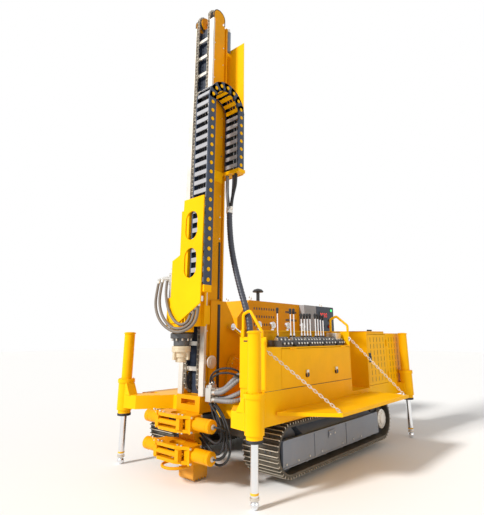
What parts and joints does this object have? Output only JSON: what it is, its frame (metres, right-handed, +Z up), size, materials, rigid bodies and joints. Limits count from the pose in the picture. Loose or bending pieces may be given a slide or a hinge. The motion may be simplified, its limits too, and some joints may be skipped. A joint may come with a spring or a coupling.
{
  "type": "anchor drilling rig",
  "caption": "Tracked anchor drilling rig on stabiliser jacks with a tilting, sliding mast, rotary head, drag chain, jaw clamps, operator console and fold-down platform.",
  "frame": {"origin": "on the floor, on the centre line, midway between the two front jacks", "axes": "+X to the operator's side, +Y to the rear, +Z up along the upright mast"},
  "size_m": [2.6278, 3.799, 5.7],
  "materials": {
    "yellow_paint": "gloss",
    "grey_blue_paint": "satin",
    "track_steel": "satin",
    "cast_steel": "satin",
    "rail_steel": "satin",
    "chrome": "gloss",
    "valve_black": "satin",
    "chain_blue": "satin",
    "box_grey": "satin",
    "panel_blue": "satin"
  },
  "bodies": {
    "chassis": {"carrier": "grey_blue_paint", "main_frame": "grey_blue_paint", "track_right": "track_steel", "track_left": "track_steel", "track_frames": "grey_blue_paint", "running_gear": "cast_steel", "front_arms": "yellow_paint", "rear_arms": "yellow_paint", "console_shell": "yellow_paint", "valve_bank": "valve_black", "gauges": "valve_black", "handrails": "rail_steel", "rear_cabinet": "yellow_paint", "hood_shell": "yellow_paint", "power_unit": "cast_steel", "rain_cap": "valve_black", "electrical_box": "box_grey", "control_panel": "panel_blue", "pivot_lugs": "yellow_paint", "platform_chains": "rail_steel"},
    "console_door": {"console_door": "yellow_paint"},
    "cabinet_door": {"cabinet_door": "yellow_paint"},
    "hood_door_front": {"hood_door_front": "yellow_paint"},
    "hood_door_rear": {"hood_door_rear": "yellow_paint"},
    "platform": {"platform": "yellow_paint"},
    "jack_front_right": {"jack_rod_front_right": "chrome"},
    "jack_front_left": {"jack_rod_front_left": "chrome"},
    "jack_rear_right": {"jack_rod_rear_right": "chrome"},
    "jack_rear_left": {"jack_rod_rear_left": "chrome"},
    "tilt_frame": {"tilt_frame": "yellow_paint"},
    "tilt_barrels": {"tilt_barrels": "yellow_paint"},
    "tilt_rods": {"tilt_rods": "chrome"},
    "mast": {"mast_beam": "yellow_paint", "guide_rails": "rail_steel", "cross_bars": "rail_steel", "feed_chains": "cast_steel", "mast_foot": "yellow_paint", "lower_clamp": "yellow_paint", "upper_clamp": "yellow_paint", "chain_guard": "yellow_paint", "hose_bracket": "yellow_paint", "drag_chain_back": "chain_blue"},
    "chain_loop": {"drag_chain_loop": "chain_blue"},
    "head": {"carriage": "yellow_paint", "head_guard": "yellow_paint", "rotary_head": "yellow_paint", "drag_chain_front": "chain_blue"},
    "spindle": {"spindle": "cast_steel"}
  },
  "joints": [
    {"name": "mast_tilt", "type": "hinge", "parent": "chassis", "child": "tilt_frame", "pos_m": [0, 0.554, 1.106], "axis": [1, 0, 0], "range_deg": [-90, 0]},
    {"name": "mast_slide", "type": "slide", "parent": "tilt_frame", "child": "mast", "axis": [0, 0, 1], "range_m": [0, 0.9]},
    {"name": "head_feed", "type": "slide", "parent": "mast", "child": "head", "axis": [0, 0, 1], "range_m": [0, 2.4], "deforming": ["drag_chain_front"]},
    {"name": "chain_loop_travel", "type": "slide", "parent": "mast", "child": "chain_loop", "axis": [0, 0, 1], "range_m": [0, 1.2], "deforming": ["drag_chain_back"]},
    {"name": "spindle_turn", "type": "hinge", "parent": "head", "child": "spindle", "pos_m": [0, -0.02, 1.3], "axis": [0, 0, 1], "continuous": true},
    {"name": "tilt_barrel_swing", "type": "hinge", "parent": "chassis", "child": "tilt_barrels", "pos_m": [0, 1.776, 0.815], "axis": [1, 0, 0], "range_deg": [-1, 5]},
    {"name": "tilt_rod_slide", "type": "slide", "parent": "tilt_barrels", "child": "tilt_rods", "axis": [0, -0.8835, 0.4685], "range_m": [-0.57, 0.01]},
    {"name": "jack_front_right_travel", "type": "slide", "parent": "chassis", "child": "jack_front_right", "axis": [0, 0, 1], "range_m": [-0.12, 0.42]},
    {"name": "jack_front_left_travel", "type": "slide", "parent": "chassis", "child": "jack_front_left", "axis": [0, 0, 1], "range_m": [-0.12, 0.42]},
    {"name": "jack_rear_right_travel", "type": "slide", "parent": "chassis", "child": "jack_rear_right", "axis": [0, 0, 1], "range_m": [-0.12, 0.42]},
    {"name": "jack_rear_left_travel", "type": "slide", "parent": "chassis", "child": "jack_rear_left", "axis": [0, 0, 1], "range_m": [-0.12, 0.42]},
    {"name": "platform_fold", "type": "hinge", "parent": "chassis", "child": "platform", "pos_m": [0.962, 1.32, 0.703], "axis": [0, -1, 0], "range_deg": [0, 86], "deforming": ["platform_chains"]},
    {"name": "console_door_swing", "type": "hinge", "parent": "chassis", "child": "console_door", "pos_m": [0.9583, 1.19, 1.2755], "axis": [0, 1, 0], "range_deg": [-100, 0]},
    {"name": "cabinet_door_swing", "type": "hinge", "parent": "chassis", "child": "cabinet_door", "pos_m": [0.9583, 3.0225, 1.1], "axis": [0, 0, -1], "range_deg": [-110, 0]},
    {"name": "hood_door_front_swing", "type": "hinge", "parent": "chassis", "child": "hood_door_front", "pos_m": [-0.9583, 1.4675, 1.3], "axis": [0, 0, -1], "range_deg": [-110, 0]},
    {"name": "hood_door_rear_swing", "type": "hinge", "parent": "chassis", "child": "hood_door_rear", "pos_m": [-0.9583, 2.3775, 1.3], "axis": [0, 0, -1], "range_deg": [-110, 0]}
  ],
  "couplings": [
    {"joint": "chain_loop_travel", "follows": "head_feed", "ratio": 0.5},
    {"joint": "tilt_barrel_swing", "follows": "mast_tilt", "ratio": -0.049},
    {"joint": "tilt_rod_slide", "follows": "mast_tilt", "m_per_rad": 0.3557}
  ]
}
